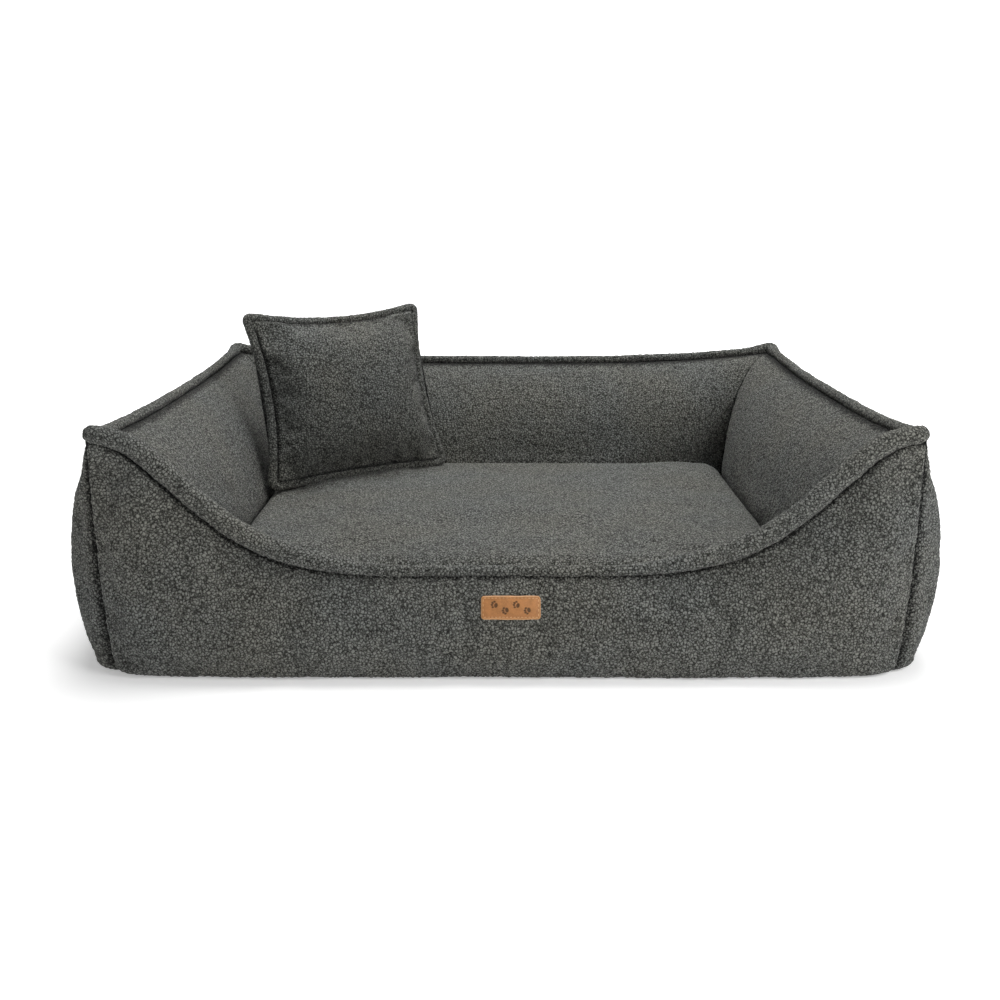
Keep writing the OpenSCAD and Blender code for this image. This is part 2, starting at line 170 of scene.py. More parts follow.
class Shell:
    """The points and faces of a piece: a skin of quads, and closing faces behind it."""

    def __init__(self):
        self.points, self.skin, self.uv, self.closing = [], [], [], []
        self.count = 0

    def add(self, points):
        """Adds a grid of points, and returns the grid of their numbers."""
        points = np.asarray(points, float)
        numbers = np.arange(points[..., 0].size).reshape(points.shape[:-1]) + self.count
        self.points.append(points.reshape(-1, 3))
        self.count += numbers.size
        return numbers

    def cover(self, numbers, uv_box=UV_ALL, flip=False):
        """Quads over a grid of point numbers, unwrapped onto a box of the UV square."""
        corners = (numbers[:-1, :-1], numbers[1:, :-1], numbers[1:, 1:], numbers[:-1, 1:])
        quads = np.stack(corners, axis=-1).reshape(-1, 4)
        u = np.linspace(uv_box[0], uv_box[2], numbers.shape[0])[:, None] + 0 * numbers
        v = np.linspace(uv_box[1], uv_box[3], numbers.shape[1])[None, :] + 0 * numbers
        uv = np.stack([u, v], axis=-1)
        spots = (uv[:-1, :-1], uv[1:, :-1], uv[1:, 1:], uv[:-1, 1:])
        spots = np.stack(spots, axis=2).reshape(-1, 4, 2)
        if flip:
            quads, spots = quads[:, ::-1], spots[:, ::-1]
        self.skin.append(quads)
        self.uv.append(spots)

    def close(self, faces, flip=False):
        self.closing += [f[::-1] if flip else f for f in faces]

    def tube(self, rings, flip=True):
        """A tube through a stack of rings of points, closed at both ends."""
        ids = self.add(rings)
        self.cover(looped(ids), flip=flip)
        self.close([ids[0].tolist()[::-1], ids[-1].tolist()], flip)

    def normals(self, points):
        """Unit normals of the skin at each point."""
        quads = np.concatenate(self.skin)
        a, b, c, d = (points[quads[:, k]] for k in range(4))
        face = np.cross(c - a, d - b)
        total = np.zeros_like(points)
        for k in range(4):
            for axis in range(3):
                total[:, axis] += np.bincount(quads[:, k], face[:, axis], len(points))
        return unit(total)

    def build(self, name, pile=0.0, seam=None):
        """The mesh object, with its skin raised by boucle curls of the given pile height.

        Seam is each point's distance from the nearest seam, where the curls are pressed down and the colour gets
        painted shade."""
        points = np.concatenate(self.points)
        height, loose = np.zeros(len(points)), np.ones(len(points))
        if seam is not None:
            # 1 away from seams and 0 at them, where the curls are pressed down and the boucle material paints
            # shade.
            loose = smooth(seam.ravel() / SEAM_PRESS)
        if pile:
            height = curls(points) * (SEAM_CURL + (1 - SEAM_CURL) * loose)
            points = points + self.normals(points) * (pile * (height - FACE_LEVEL))[:, None]
        skin = np.concatenate(self.skin)
        mesh = bpy.data.meshes.new(name)
        mesh.from_pydata(points.tolist(), [], skin.tolist() + self.closing)
        spots = np.full((len(mesh.loops), 2), UV_HIDDEN)
        flat = np.concatenate(self.uv).reshape(-1, 2)
        spots[:len(flat)] = flat
        mesh.uv_layers.new(name="OFBake").data.foreach_set("uv", spots.ravel())
        mesh.polygons.foreach_set("use_smooth", [True] * len(mesh.polygons))
        # The curls' heights also go to the boucle material, which paints shade into their cracks.
        store(mesh, "curl", height)
        store(mesh, "loose", loose)
        turned = bmesh.new()  # turns every face outwards
        turned.from_mesh(mesh)
        bmesh.ops.recalc_face_normals(turned, faces=turned.faces)
        if turned.calc_volume(signed=True) < 0:
            bmesh.ops.reverse_faces(turned, faces=turned.faces)
        turned.to_mesh(mesh)
        turned.free()
        made = bpy.data.objects.new(name, mesh)
        SCENE.collection.objects.link(made)
        return made


def pad(name, grid, flip=False, seam=None):
    """A closed, stuffed pad: grid is its curved face, and straight chords close it behind."""
    shell = Shell()
    ids = shell.add(grid)
    shell.cover(ids, flip=flip)
    rows = ids.tolist()
    shell.close([[a[0], a[-1], b[-1], b[0]] for a, b in zip(rows, rows[1:])], flip)
    shell.close([rows[0][::-1], rows[-1]], flip)
    return shell.build(name, PILE, seam)


def piping(name, path, up, radius, sides, pile, loop=False):
    """A stuffed roll along a path, where up points away from the seam that it is sewn into."""
    if loop:
        along = np.roll(path, -1, axis=0) - np.roll(path, 1, axis=0)
    else:
        along = np.gradient(path, axis=0)
    along = unit(along)
    side = unit(np.cross(along, up))
    top = np.cross(side, along)
    angle = 2 * np.pi * np.arange(sides)[None, :, None] / sides
    round_it = np.cos(angle) * top[:, None] + np.sin(angle) * side[:, None]
    radius = np.broadcast_to(radius, (len(path),))[:, None, None]
    rings = path[:, None] + round_it * radius
    shell = Shell()
    if loop:
        skin = looped(shell.add(rings))
        shell.cover(np.concatenate([skin, skin[:1]]), flip=True)
    else:
        shell.tube(rings)
    return shell.build(name, pile)


# --- Cloth ---

def between(fine, coarse):
    """Weights that carry rows of a coarse grid over to a fine one, along a smooth curve."""
    place_at = np.linspace(0, coarse - 1, fine)
    weights = np.zeros((fine, coarse))
    left = np.minimum(np.floor(place_at).astype(int), coarse - 2)
    t = place_at - left
    cubic = (-0.5 * t + t ** 2 - 0.5 * t ** 3, 1 - 2.5 * t ** 2 + 1.5 * t ** 3,
             0.5 * t + 2 * t ** 2 - 1.5 * t ** 3, -0.5 * t ** 2 + 0.5 * t ** 3)
    for k, share in enumerate(cubic):
        column = np.clip(left + k - 1, 0, coarse - 1)
        np.add.at(weights, (np.arange(fine), column), share)
    return weights


COARSE = 5  # quads of the fine grid to one of the cloth's
CLOTH_FRAMES = 20
CLOTH = {"quality": 6, "mass": 0.25, "tension_stiffness": 18, "compression_stiffness": 18,
         "shear_stiffness": 8, "bending_stiffness": 0.4, "vertex_group_mass": "pins",
         "use_pressure": True}


def stuffed(shape, rows, columns, cap, pressure=4.0, spare=0.02, flip=False, keep=0.0,
            soften=0):
    """A fine grid of points that a cloth simulation has filled out.

    shape(rows, columns) gives the grid at any fineness. The cloth is pinned along its border,
    is cut larger than the shape by the spare share, and no point moves further than cap. Keep
    is the share of the slow, even swelling that stays, beside the folds. Soften is how many
    times sharp folds are averaged with what is around them."""
    fine = shape(rows, columns)
    coarse_rows, coarse_columns = max(9, rows // COARSE), max(9, columns // COARSE)
    start = shape(coarse_rows, coarse_columns)
    shell = Shell()
    ids = shell.add(start)
    shell.cover(ids, flip=flip)
    cloth = shell.build("cloth")
    border = np.unique(np.concatenate([ids[0], ids[-1], ids[:, 0], ids[:, -1]]))
    pins = cloth.vertex_groups.new(name="pins")
    pins.add(border.tolist(), 1.0, "REPLACE")
    settings = cloth.modifiers.new("cloth", "CLOTH").settings
    for title, value in CLOTH.items():
        setattr(settings, title, value)
    settings.shrink_min = settings.shrink_max = -spare
    settings.uniform_pressure_force = pressure
    settings.effector_weights.gravity = 0
    for number in range(1, CLOTH_FRAMES + 1):
        SCENE.frame_set(number)
    posed = cloth.evaluated_get(bpy.context.evaluated_depsgraph_get()).data
    found = np.empty(3 * len(posed.vertices))
    posed.vertices.foreach_get("co", found)
    mesh = cloth.data
    bpy.data.objects.remove(cloth)
    bpy.data.meshes.remove(mesh)
    SCENE.frame_set(1)
    moved = found.reshape(start.shape) - start
    moved = slow_part(moved - slow_part(moved, SLOW_PASSES) * (1 - keep), soften)
    length = np.linalg.norm(moved, axis=-1, keepdims=True)
    moved *= cap * np.tanh(length / cap) / np.maximum(length, 1e-9)
    spread_rows, spread_columns = between(rows, coarse_rows), between(columns, coarse_columns)
    return fine + np.einsum("ri,ijk,cj->rck", spread_rows, moved, spread_columns)


SLOW_PASSES = 60  # what is left after as many is the slow, even swelling


def slow_part(field, passes):
    """A grid of vectors, each averaged so many times with its neighbours, inside its border."""
    even = field.copy()
    for _ in range(passes):
        around = (even[:-2, 1:-1] + even[2:, 1:-1] + even[1:-1, :-2] + even[1:-1, 2:]) / 4
        even[1:-1, 1:-1] = around
    return even


# --- Shape of the walls: u runs from -1 to 1 between a wall's two corner tips ---

FOOT = np.array([24, 24, 26, 26]) * MM  # how far a wall's foot stands out past its tips
BELLY = np.array([15, 15, 30, 30]) * MM  # how far its belly stands out past that
BULGE_IN = np.array([62, 119, 104, 104]) * MM  # depth of its inner bulge behind the tips
CREASE_IN = 85 * MM  # depth of the inner corner creases
UNDERCUT = 0.74  # share of the inner bulge left at the floor
ROUND_FOOT = 13 * MM  # radius of the bottom edge
PUFF = 3.0 * MM  # swell of the fabric right below a seam
PUFF_REACH = 7 * MM
GROOVE = (4.0 * MM, 2.2 * MM, 2.2 * MM, 2.2 * MM)  # depth where a seam pulls the fabric in
GROOVE_REACH = 2.6 * MM
OUTER_HEIGHT = (170 * MM, 250 * MM, 250 * MM, 250 * MM)  # roughly, over the curve
INNER_HEIGHT = (170 * MM, 270 * MM, 270 * MM, 270 * MM)
OUTER_CAP = 5 * MM  # how far the cloth may move
INNER_CAP = 2.4 * MM
INNER_SOFTEN = 8  # few folds show inside, where the fibre fills the fabric out


def seam_z(wall, u):
    """Height of a wall's top seam."""
    a = np.abs(u)
    if wall == FRONT:
        share = 1 - (1 - np.minimum(a, 1) ** 5.3) ** 2.5
    else:
        share = a ** (3.2 if wall == BACK else 2.6)
    return MIDDLE_Z[wall] + (TIP_Z - MIDDLE_Z[wall]) * share


def place(wall, along, out, z):
    """Points from distances along a wall, outwards from the line between its tips, and up."""
    parts = ((along, -(TIP_Y + out), z), (-along, TIP_Y + out, z),
             (-(TIP_X + out), -along, z), (TIP_X + out, along, z))[wall]
    return np.stack(np.broadcast_arrays(*parts), axis=-1)


def outer(wall, u, z):
    """The outside of a wall."""
    top = seam_z(wall, u)
    v = np.clip(z / top, 0, 1)
    corner_x = -5 * MM * (1 - v) - 8 * MM * (1 - v) ** 5
    corner_y = 8 * MM * (1 - v)
    end, out = (corner_x, corner_y) if wall <= BACK else (corner_y, corner_x)
    ends = (1 - np.abs(u) ** 8) ** 0.45
    bulge = FOOT[wall] * (1 - v) + BELLY[wall] * np.sin(np.pi * v) ** 0.8
    below = np.maximum(top - z, 0)
    puff = PUFF * (1 - np.exp(-below / PUFF_REACH)) - GROOVE[wall] * np.exp(-below / GROOVE_REACH)
    puff = puff * smooth((1 - np.abs(u)) * 14) * v
    under = rounded_off(z, ROUND_FOOT)
    return place(wall, u * (HALF[wall] + end) - np.sign(u) * under * np.abs(u) ** 8,
                 out + (bulge - out + puff) * ends - under, z)


def inward(wall, u, z):
    """How far the inside of a wall lies behind the line between its tips."""
    v = np.clip(z / seam_z(wall, u), 0, 1)
    low = UNDERCUT + (1 - UNDERCUT) * smooth(v / 0.4)
    middle = SEAM_TOP + (BULGE_IN[wall] - SEAM_TOP) * (1 - v ** 3) ** 0.7 * low
    crease = SEAM_TOP + (CREASE_IN - SEAM_TOP) * (1 - v ** 3) ** 0.5 * low
    return crease + (middle - crease) * np.sqrt(1 - np.abs(u) ** (5 if wall == FRONT else 8))


def inner(wall, u, z):
    """The inside of a wall."""
    d = inward(wall, u, z)
    return place(wall, u * (HALF[wall] - d), -d, z)


def spaced(count, crowd=0.5):
    """Values from -1 to 1 that crowd towards both ends."""
    t = np.linspace(-1, 1, count)
    return (1 - crowd) * t + crowd * np.sin(np.pi / 2 * t)


def settle(grid, wall, u, z, flip=False):
    """Adds the fabric's slow waves, and the puckers that run away from its seams."""
    normals = unit(np.cross(np.gradient(grid, axis=0), np.gradient(grid, axis=1)))
    below = seam_z(wall, u) - z
    beside = (1 - np.abs(u)) * HALF[wall]
    near_top = np.exp(-below / (17 * MM)) * smooth(below / (6 * MM))
    near_end = np.exp(-beside / (26 * MM)) * smooth(beside / (8 * MM))
    wave = 1.6 * MM * noise(grid, 95 * MM, 7) + 0.9 * MM * noise(grid, 40 * MM, 8)
    wave = wave * smooth(below / (25 * MM)) * smooth(beside / (25 * MM))
    pucker = 2.4 * MM * noise(grid * [1, 1, 0.35], 17 * MM, 9) * near_top
    pucker = pucker + 1.5 * MM * noise(grid * [0.3, 0.3, 1], 38 * MM, 10) * near_end
    return grid + normals * ((wave + pucker) * (-1 if flip else 1))[..., None]


def wall_grid(wall, surface, bottom, height, cap, soften=0, flip=False):
    """A wall's face between its bottom edge and its top seam, filled out and settled."""
    def at(rows, columns):
        u = spaced(rows, 0.2)[:, None]
        low = bottom(u) if callable(bottom) else bottom
        return u, low + (seam_z(wall, u) - low) * (spaced(columns, 0.35)[None, :] + 1) / 2

    rows, columns = int(2 * HALF[wall] / CELL), int(height / CELL)
    grid = stuffed(lambda r, c: surface(wall, *at(r, c)), rows, columns, cap, flip=flip,
                   soften=soften)
    return settle(grid, wall, *at(rows, columns), flip=flip), at(rows, columns)


# --- Materials ---

def material(name, roughness, specular):
    made = bpy.data.materials.new(name)
    made.use_nodes = True
    shader = made.node_tree.nodes["Principled BSDF"]
    shader.inputs["Roughness"].default_value = roughness
    shader.inputs["Specular IOR Level"].default_value = specular
    return made, made.node_tree, shader


def add_node(tree, kind, inputs, **settings):
    """Adds a shader node, whose inputs are other nodes' outputs or plain values."""
    made = tree.nodes.new("ShaderNode" + kind)
    for title, value in settings.items():
        setattr(made, title, value)
    for socket, value in inputs.items():
        if isinstance(value, bpy.types.NodeSocket):
            tree.links.new(value, made.inputs[socket])
        else:
            made.inputs[socket].default_value = value
    return made.outputs


def math_node(tree, operation, *inputs, clamp=False):
    inputs = dict(enumerate(inputs))
    return add_node(tree, "Math", inputs, operation=operation, use_clamp=clamp)[0]


def ramp(tree, factor, *stops):
    """Colours along a factor: each stop is a position and a colour."""
    made = tree.nodes.new("ShaderNodeValToRGB")
    tree.links.new(factor, made.inputs["Fac"])
    elements = made.color_ramp.elements
    while len(elements) < len(stops):
        elements.new(0.5)
    for element, (position, colour) in zip(elements, stops):
        element.position = position
        element.color = (*colour, 1)
    return made.outputs["Color"]


def mixed(tree, factor, first, second, blend="MIX"):
    """Mixes a colour output with another one, or with a fixed colour."""
    if isinstance(second, tuple):
        second = (*second, 1)
    inputs = {0: factor, 6: first, 7: second}
    return add_node(tree, "Mix", inputs, data_type="RGBA", blend_type=blend)[2]


def texture(tree, coordinates, scale, detail=2.0, roughness=0.5, kind="Noise"):
    inputs = {"Scale": scale, "Detail": detail, "Roughness": roughness, "Vector": coordinates}
    return add_node(tree, "Tex" + kind, inputs)["Fac" if kind == "Noise" else "Distance"]


def warped(tree, coordinates, scale, reach):
    """Coordinates pushed about by noise, by up to about half of the reach."""
    cloud = add_node(tree, "TexNoise", {"Scale": scale, "Detail": 1.0, "Vector": coordinates})
    inputs = {0: cloud["Color"], 1: (reach, reach, reach), 2: coordinates}
    return add_node(tree, "VectorMath", inputs, operation="MULTIPLY_ADD")["Vector"]


def cells(tree, coordinates, scale):
    """Distance from the cracks between irregular cells."""
    inputs = {"Scale": scale, "Vector": coordinates}
    return add_node(tree, "TexVoronoi", inputs, feature="DISTANCE_TO_EDGE")["Distance"]


def stored(tree, name):
    """A value that store() keeps at each point."""
    return add_node(tree, "Attribute", {}, attribute_name=name)["Fac"]


def object_place(tree):
    return add_node(tree, "TexCoord", {})["Object"]


def bump(tree, shader, height, distance, strength):
    inputs = {"Distance": distance, "Strength": strength, "Height": height}
    tree.links.new(add_node(tree, "Bump", inputs)["Normal"], shader.inputs["Normal"])


def tinted(colour, amount):
    return tuple(amount * part for part in colour)


LOOPS = 320  # small loops of yarn to the metre


def boucle(name, tone):
    """Curly boucle: pale loops of plied yarn in faintly different dye lots, with painted shade in the cracks
    between them and a painted highlight on their tips.
    """
    made, tree, shader = material(name, 0.97, 0.12)
    at = object_place(tree)
    fibre = texture(tree, at, 800, 2.0, 0.7)
    crack = cells(tree, warped(tree, at, LOOPS, 2.6 * MM), LOOPS)
    joined = math_node(tree, "MULTIPLY_ADD", texture(tree, at, 400, 1.0), 0.40, -0.20)
    loop = math_node(tree, "MULTIPLY", math_node(tree, "ADD", crack, joined), 3.6, clamp=True)
    height = math_node(tree, "MULTIPLY_ADD", fibre, 0.45, loop)
    # The mesh's stored curl heights darken the colour in its cracks: painted shade.
    depth = math_node(tree, "MULTIPLY_ADD", stored(tree, "curl"), 0.22, height)
    # Painted shade along the seams: the colour darkens where the stored seam value falls to 0.
    depth = math_node(tree, "MULTIPLY_ADD", stored(tree, "loose"), 0.7, depth)
    # The ramp paints shade and light: dark in the cracks between loops, brightest on their tips as a painted
    # highlight.
    colour = ramp(tree, math_node(tree, "MULTIPLY_ADD", depth, 0.58, -0.41),
                  (0.06, tinted(tone, 0.05)), (0.26, tinted(tone, 0.34)),
                  (0.52, tinted(tone, 1.00)), (0.84, tinted(tone, 2.2)))
    lot = texture(tree, at, 9, 2.0)
    tint = ramp(tree, lot, (0.36, (0.975, 0.995, 1.01)), (0.64, (1.02, 1.005, 0.965)))
    tree.links.new(mixed(tree, 1.0, colour, tint, "MULTIPLY"), shader.inputs["Base Color"])
    shader.inputs["Sheen Weight"].default_value = 0.10
    shader.inputs["Sheen Roughness"].default_value = 0.5
    bump(tree, shader, height, 1.0 * MM, 0.9)
    return made


def woven(name, colour, threads):
    """Plain weave of so many threads to the metre, with slubs."""
    made, tree, shader = material(name, 0.85, 0.25)
    at = object_place(tree)
    axes = add_node(tree, "SeparateXYZ", {0: at})
    turns = [math_node(tree, "MULTIPLY", axis, threads * 2 * math.pi) for axis in axes]
    waves = [math_node(tree, "SINE", turn) for turn in turns]
    weave = math_node(tree, "MULTIPLY", waves[0], math_node(tree, "ADD", waves[1], waves[2]))
    weave = math_node(tree, "MULTIPLY_ADD", weave, 0.25, 0.5)
    slub = texture(tree, at, 60, 4.0, 0.6)
    depth = math_node(tree, "MULTIPLY_ADD", slub, 0.6, math_node(tree, "MULTIPLY", weave, 0.5))
    tree.links.new(ramp(tree, depth, (0.25, tinted(colour, 0.5)), (0.85, tinted(colour, 1.7))),
                   shader.inputs["Base Color"])
    height = math_node(tree, "MULTIPLY_ADD", texture(tree, at, 22, 2.0), 3.0, weave)
    bump(tree, shader, height, 0.25 * MM, 0.7)
    return made


def leather(name, colour):
    """Tan leather: fine grain, cloudy colour, paler rubbed rims and dark pressed marks."""
    made, tree, shader = material(name, 0.52, 0.4)
    at = object_place(tree)
    grain = texture(tree, at, 1300, kind="Voronoi")
    cloud = texture(tree, at, 150, 4.0, 0.6)
    depth = math_node(tree, "MULTIPLY_ADD", grain, 0.25, math_node(tree, "MULTIPLY", cloud, 0.8))
    tan = ramp(tree, depth, (0.28, tinted(colour, 0.42)), (0.52, tinted(colour, 0.72)),
               (0.80, tinted(colour, 0.98)))
    worn = mixed(tree, stored(tree, "rubbed"), tan, (0.58, 0.33, 0.155))
    pressed = mixed(tree, stored(tree, "pressed"), worn, tinted(colour, 0.20))
    tree.links.new(pressed, shader.inputs["Base Color"])
    tree.links.new(math_node(tree, "MULTIPLY_ADD", cloud, 0.35, 0.36), shader.inputs["Roughness"])
    bump(tree, shader, grain, 0.12 * MM, 0.5)
    return made


def hard(name, colour, metallic, scratches, roughness):
    """Lacquered metal or moulded nylon, with fine wear in its colour and gloss."""
    made, tree, shader = material(name, roughness, 0.5)
    shader.inputs["Metallic"].default_value = metallic
    wear = texture(tree, object_place(tree), scratches, 4.0, 0.65)
    tree.links.new(ramp(tree, wear, (0.32, tinted(colour, 0.65)), (0.72, tinted(colour, 1.8))),
                   shader.inputs["Base Color"])
    tree.links.new(math_node(tree, "MULTIPLY_ADD", wear, 0.3, roughness - 0.15),
                   shader.inputs["Roughness"])
    bump(tree, shader, wear, 0.05 * MM, 0.4)
    return made


COLOURS = {m["slot"]: tuple(m["base_color"][:3]) for m in frame["record"]["materials"]}
LOOKS = {
    "boucle": boucle("boucle", (0.112, 0.114, 0.105)),
    "lining": woven("lining", COLOURS["lining"], 620),
    "zip_tape": woven("zip_tape", COLOURS["zip_tape"], 900),
    "label_thread": woven("label_thread", COLOURS["label_thread"], 1900),
    "label_leather": leather("label_leather", COLOURS["label_leather"]),
    "zip_metal": hard("zip_metal", COLOURS["zip_metal"], 0.85, 700, 0.36),
    "zip_coil": hard("zip_coil", COLOURS["zip_coil"], 0.0, 300, 0.45)}


def finish_piece(made, slot, body, *nodes):
    """Gives a piece its material, its body and the frame's nodes that it stands for."""
    made.data.materials.append(LOOKS[slot])
    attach(made, body)
    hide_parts(*nodes)
    return made


# --- Walls ---

ZIP_HALF = size("wall_zip_tape")[0] / 2
ZIP_Z = middle("wall_zip_tape")[2]
ZIP_GAP = 2 * (ZIP_Z - STRIP_Z)
BOTTOM_Z = 1.6 * MM  # lower edge of the fabric, clear of the floor
HEM = 3.5 * MM  # how far a hemmed edge is turned in
HEM_REACH = 2.2 * MM
ZIP_DIP = 2.2 * MM  # dip of the fabric at the zip's ends, where its slider stops


def above_zip(u):
    """Lower edge of the back panel, which rises over the zip."""
    x = np.abs(u) * HALF[BACK]
    rise = smooth((ZIP_HALF + 2 * MM - x) / (6 * MM))
    return STRIP_Z + 0.3 * MM + (ZIP_GAP - 2.5 * MM) * rise


def hemmed(grid, z, edge):
    """Turns the back wall's fabric in along an edge."""
    turned = HEM * np.exp(-np.abs(z - edge) / HEM_REACH)
    return grid - turned[..., None] * np.array([0, 1, 0])


def to_seam(wall, u, z):
    """Distance from the top seam, or from a corner seam, whose pressed curls and painted shade show only as a thin
    dark line.
    """
    return np.minimum(seam_z(wall, u) - z, 1 * MM + (1 - np.abs(u)) * HALF[wall] * 6)


def make_outer_panel(wall):
    """Returns the panel's points, for what is sewn onto it."""
    name = WALLS[wall] + "_outer_panel"
    bottom = above_zip if wall == BACK else BOTTOM_Z
    grid, (u, z) = wall_grid(wall, outer, bottom, OUTER_HEIGHT[wall], OUTER_CAP)
    if wall == BACK:
        grid = hemmed(grid, z, above_zip(u))
        past_end = (np.abs(grid[..., 0]) - ZIP_HALF) / (16 * MM)
        grid[..., 1] -= ZIP_DIP * np.exp(-past_end ** 2 - ((z - ZIP_Z) / (8 * MM)) ** 2)
    made = pad(name, grid, seam=to_seam(wall, u, z))
    finish_piece(made, "boucle", "surround", name, WALLS[wall] + "_wadding")
    return grid, u, z


def make_lower_strip():
    u = spaced(int(2 * HALF[BACK] / CELL), 0.2)[:, None]
    z = np.linspace(BOTTOM_Z, STRIP_Z, max(8, int(STRIP_Z / CELL)))[None, :] + 0 * u
    grid = hemmed(outer(BACK, u, z), z, STRIP_Z)
    made = finish_piece(pad("back_lower_strip", grid), "boucle", "surround", "back_lower_strip")


def make_inner_panel(wall):
    name = WALLS[wall] + "_inner_panel"
    grid, (u, z) = wall_grid(wall, inner, FLOOR_Z, INNER_HEIGHT[wall], INNER_CAP, INNER_SOFTEN,
                             flip=True)
    made = pad(name, grid, flip=True, seam=to_seam(wall, u, z))
    finish_piece(made, "boucle", "surround", name, WALLS[wall] + "_fill", WALLS[wall] + "_board")


ROLL_R = 5.6 * MM  # radius of the piping
SLOPE_R = 10.6 * MM  # the front roll fills out where it climbs
TIP_R = 9.0 * MM  # and at the corner tips
ROLL_UP = (7.4 * MM, 9.8 * MM, 9.8 * MM, 9.8 * MM)  # from the seam to the piping's top
SLOPE_UP = 19 * MM
TIP_UP = 14.2 * MM
TIP_ROUND = 9 * MM  # radius of the piping's turn at a corner tip, in plan


def make_piping(wall):
    """The stuffed roll along a wall's top seam, up to the mitres at its two tips."""
    name = WALLS[wall] + "_piping"
    half = HALF[wall] - SEAM_TOP / 2
    s = spaced(int(2 * half / CELL), 0.3) * half
    turn = np.clip((np.abs(s) - (half - TIP_ROUND)) / TIP_ROUND, 0, 1) * np.pi / 4
    along = np.where(turn > 0, np.sign(s) * (half - TIP_ROUND + TIP_ROUND * np.sin(turn)), s)
    out = -SEAM_TOP / 2 - TIP_ROUND * (1 - np.cos(turn))
    calm = smooth((half - np.abs(s)) / (30 * MM))
    near_tip = smooth(1 - (half - np.abs(s)) / (45 * MM))
    climb = smooth((np.abs(s) - 100 * MM) / (150 * MM)) * (wall == FRONT)
    radius = ROLL_R + (SLOPE_R - ROLL_R) * climb
    radius += (TIP_R - radius) * near_tip
    lift = ROLL_UP[wall] + (SLOPE_UP - ROLL_UP[wall]) * climb
    lift += (TIP_UP - lift) * near_tip - radius
    z = seam_z(wall, s / half)
    slope = np.gradient(z, s) * (1 - near_tip)
    steep = np.sqrt(1 + slope ** 2)
    path = place(wall, along - lift * slope / steep, out, z + lift / steep)
    sway = 1.3 * MM * noise(path, 45 * MM, 13) * calm
    path = path + place(wall, 0, sway, 0) - place(wall, 0, 0, 0)
    path[:, 2] += 1.2 * MM * noise(path, 36 * MM, 12) * calm
    radius = radius * (1 + 0.07 * noise(path, 24 * MM, 14) * calm)
    sides = int(2 * math.pi * SLOPE_R / CELL)
    made = piping(name, path, (0, 0, 1), radius, sides, PILE)
    finish_piece(made, "boucle", "surround", name)


outsides = [make_outer_panel(wall) for wall in range(4)]
for wall in range(4):
    make_inner_panel(wall)
    make_piping(wall)
make_lower_strip()


# --- Base and floor fabric ---

def make_flat_fabric(name, inside):
    """A sheet of lining, cut to the outline of the walls' outsides or insides."""
    low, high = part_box(name)
    points, rings = 60, 40  # points to a side, rings to the middle
    outline = []
    for wall in (FRONT, RIGHT, BACK, LEFT):
        u = np.linspace(-1, 1, points, endpoint=False)
        z = np.full(points, high.z if inside else 0.0)
        outline.append((inner if inside else outer)(wall, u, z)[:, :2])
    edge = np.concatenate(outline) * (0.985 if inside else 1.0)
    centre = edge.mean(axis=0)
    shares = 1 - np.linspace(0, 1, rings, endpoint=False) ** 1.3
    flat = centre + (edge - centre) * shares[:, None, None]
    ripple = 0.25 * MM * noise(np.dstack([flat, 0 * flat[..., 0]]), 30 * MM, 21)
    shell = Shell()
    layers = []
    for z, sign in ((high.z - 0.3 * MM, 1), (low.z + 0.3 * MM, 0)):
        layer = shell.add(np.dstack([flat, z + sign * ripple]))
        shell.cover(looped(layer), flip=sign == 0)
        shell.close([layer[-1].tolist()], flip=sign == 0)
        layers.append(layer)
    shell.cover(looped(np.stack([layers[1][0], layers[0][0]])))
    made = finish_piece(shell.build(name), "lining", "surround", name)


make_flat_fabric("base_panel", inside=False)
make_flat_fabric("floor_panel", inside=True)


# --- Mattress ---

MATTRESS_LOW = np.array(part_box("mattress_base_cover")[0])
COVER_LOW, COVER_HIGH = (np.array(corner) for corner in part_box("mattress_top_cover"))
COVER_HALF = (COVER_HIGH - COVER_LOW)[:2] / 2
COVER_MIDDLE = (COVER_HIGH + COVER_LOW)[:2] / 2
COVER_ROUND = 52 * MM  # radius of the mattress's corners, in plan
EDGE_ROUND = 15 * MM  # radius of its top edge
CROWN = 9 * MM  # rise from its edge to its middle
EDGE_DOWN = 3.5 * MM  # from the top of the frame's cover down to its edge
COVER_CELL = 1.15 * CELL


def rounded_plan(a, b, half, radius):
    """Points of a rounded rectangle, for a and b from -1 to 1 across it."""
    point = np.stack(np.broadcast_arrays(a * half[0], b * half[1]), axis=-1)
    sign, point = np.sign(point), np.abs(point)
    p, q = (np.clip((point[..., k] - half[k] + radius) / radius, 0, 1) for k in range(2))
    x = np.where(p * q > 0, half[0] - radius + radius * p * np.sqrt(1 - q * q / 2), point[..., 0])
    y = np.where(p * q > 0, half[1] - radius + radius * q * np.sqrt(1 - p * p / 2), point[..., 1])
    return np.stack([x, y], axis=-1) * sign


def cover_top(rows, columns):
    """The mattress's crowned top, down to where its rounded edge is upright."""
    a, b = spaced(rows, 0.15)[:, None], spaced(columns, 0.15)[None, :]
    flat = rounded_plan(a, b, COVER_HALF, COVER_ROUND) + COVER_MIDDLE
    drop = rounded_off(to_border(a, b, COVER_HALF), EDGE_ROUND)
    crown = CROWN * ((1 - a ** 4) * (1 - b ** 4)) ** 0.5
    return np.dstack([flat, COVER_HIGH[2] - EDGE_DOWN - drop + crown])


def border_of(numbers):
    """The point numbers round the edge of a grid, anticlockwise seen from above."""
    return np.concatenate([numbers[:-1, 0], numbers[-1, :-1], numbers[:0:-1, -1], numbers[0, :0:-1]])


